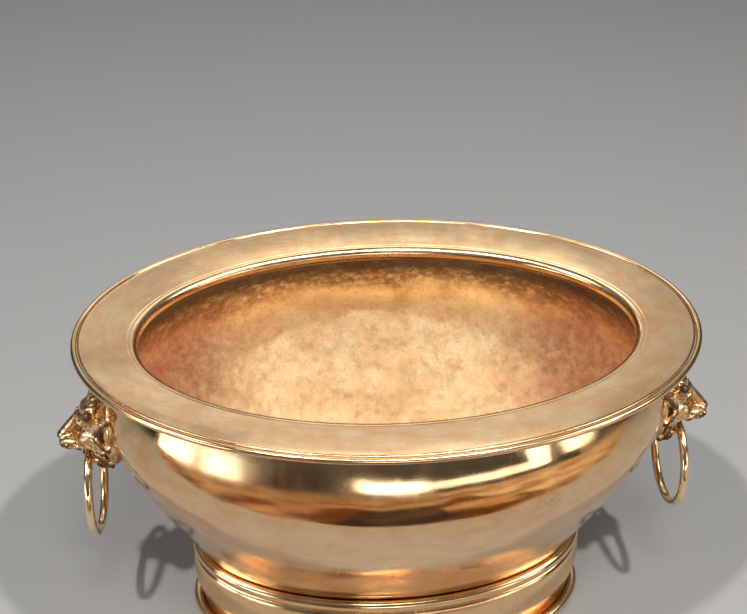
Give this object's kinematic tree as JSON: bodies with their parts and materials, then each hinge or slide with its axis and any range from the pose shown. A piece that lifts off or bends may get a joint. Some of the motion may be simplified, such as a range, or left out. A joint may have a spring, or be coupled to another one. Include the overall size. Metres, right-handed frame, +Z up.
{
  "type": "oval planter pot",
  "caption": "Oval footed brass planter pot with a broad flat rim, a lion mask handle at each end and a hanging ring that swings in each mouth.",
  "frame": {"origin": "centre of the foot's underside, on the floor", "axes": "+Z up out of the bowl, +X along the long axis towards the right-hand ring, +Y across the short axis"},
  "size_m": [0.44, 0.28, 0.23],
  "materials": {
    "bowl": "polished outside, brown patina inside",
    "rim": "hand polished",
    "rim_bead": "hand polished",
    "foot_bead": "hand polished",
    "foot": "hand polished",
    "base_bead": "hand polished",
    "mask": "cast, polished on the high spots",
    "ring": "polished",
    "fixings": "dull"
  },
  "bodies": {
    "pot": {"bowl_shell": "bowl", "rim_flange": "rim", "rim_wire": "rim_bead", "foot_collar": "foot_bead", "foot_ring": "foot", "base_wire": "base_bead", "left_lion_mask": "mask", "right_lion_mask": "mask", "left_lower_stud": "fixings", "left_lower_washer": "fixings", "left_lower_nut": "fixings", "left_upper_stud": "fixings", "left_upper_washer": "fixings", "left_upper_nut": "fixings", "right_lower_stud": "fixings", "right_lower_washer": "fixings", "right_lower_nut": "fixings", "right_upper_stud": "fixings", "right_upper_washer": "fixings", "right_upper_nut": "fixings"},
    "left_ring_body": {"left_ring": "ring"},
    "right_ring_body": {"right_ring": "ring"}
  },
  "joints": [
    {"name": "left_ring_swing", "type": "hinge", "parent": "pot", "child": "left_ring_body", "pos_m": [-0.199, 0, 0.142], "axis": [0, 1, 0], "range_deg": [-40, 195]},
    {"name": "right_ring_swing", "type": "hinge", "parent": "pot", "child": "right_ring_body", "pos_m": [0.199, 0, 0.142], "axis": [0, -1, 0], "range_deg": [-40, 195]}
  ]
}
